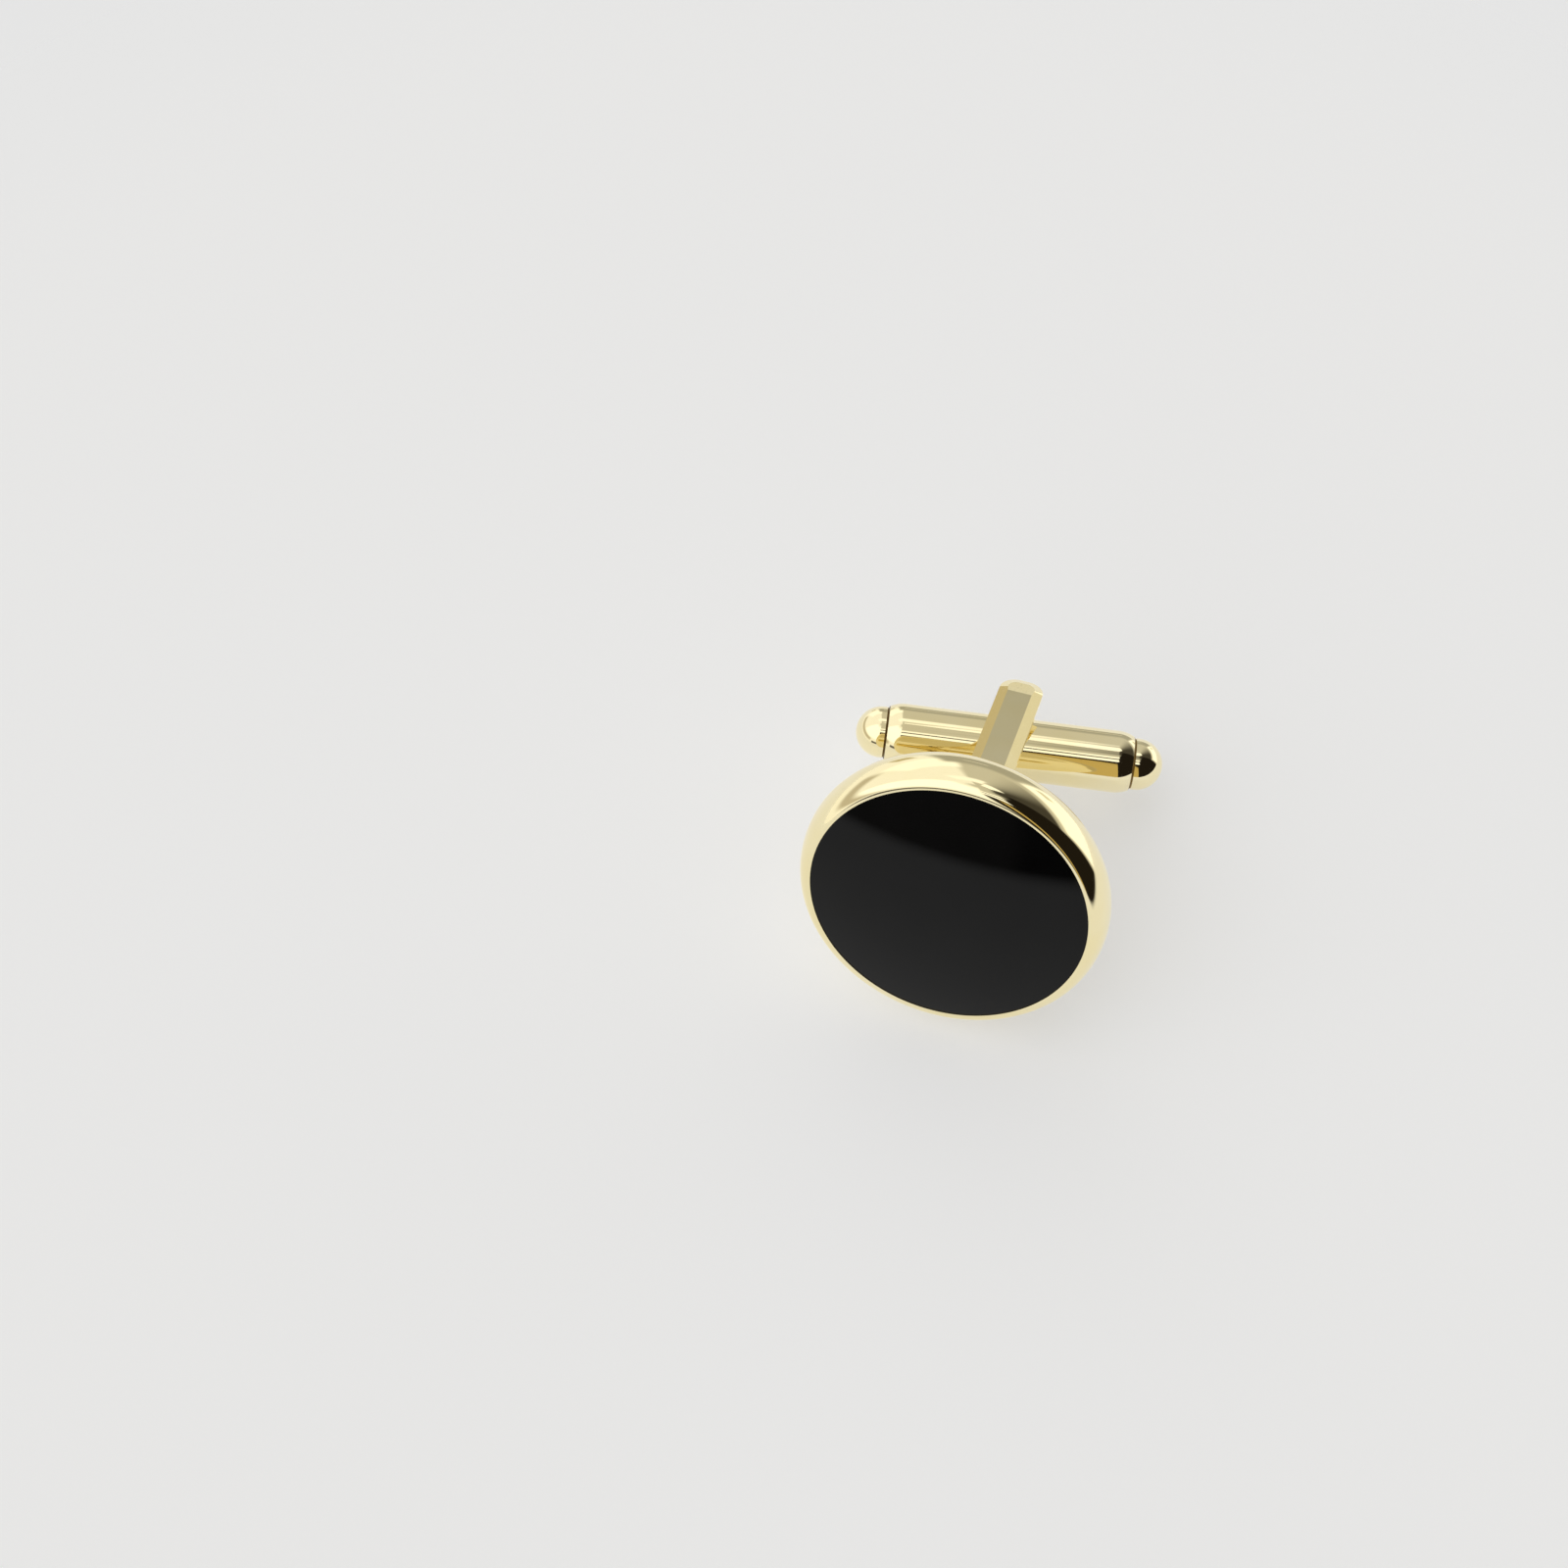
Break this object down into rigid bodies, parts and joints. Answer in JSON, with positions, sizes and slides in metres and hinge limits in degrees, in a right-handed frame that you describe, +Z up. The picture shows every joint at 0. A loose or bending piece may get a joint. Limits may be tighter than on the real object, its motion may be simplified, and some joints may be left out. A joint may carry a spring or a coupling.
{
  "type": "cufflink",
  "caption": "Round cufflink: polished gold-coloured rim around a domed black inlay, a two-armed post and a swivel bar that turns in line with the post to pass a buttonhole.",
  "frame": {"origin": "bottom centre of the bounding box, on the surface that the cufflink lies on", "axes": "+Z up from that surface, with the rim and the lower arm's end resting on it; -Y is the side that the black face looks towards; X runs across the face"},
  "size_m": [0.0182, 0.0206, 0.0172],
  "materials": {
    "face_gold": "polished gold-coloured plating",
    "inlay_black": "polished black, domed",
    "cement": "clear adhesive film",
    "post_gold": "polished gold-coloured plating",
    "pin_gold": "polished gold-coloured plating",
    "bush_gold": "polished gold-coloured plating",
    "bar_gold": "polished gold-coloured plating",
    "cap_gold": "polished gold-coloured plating",
    "spring_steel": "spring steel strip"
  },
  "bodies": {
    "face": {"face_cup": "face_gold", "inlay": "inlay_black", "cement_bed": "cement", "post_fork": "post_gold", "pivot_pin": "pin_gold"},
    "bar": {"bush_upper": "bush_gold", "bush_lower": "bush_gold", "toggle_barrel": "bar_gold", "toggle_cap_left": "cap_gold", "toggle_cap_right": "cap_gold", "detent_spring": "spring_steel"}
  },
  "joints": [
    {"name": "bar_swivel", "type": "hinge", "parent": "face", "child": "bar", "pos_m": [0, 0.00694, 0.004], "axis": [0, 0.3359, 0.9419], "range_deg": [-100.8, 79.2], "deforming": ["detent_spring"]}
  ]
}
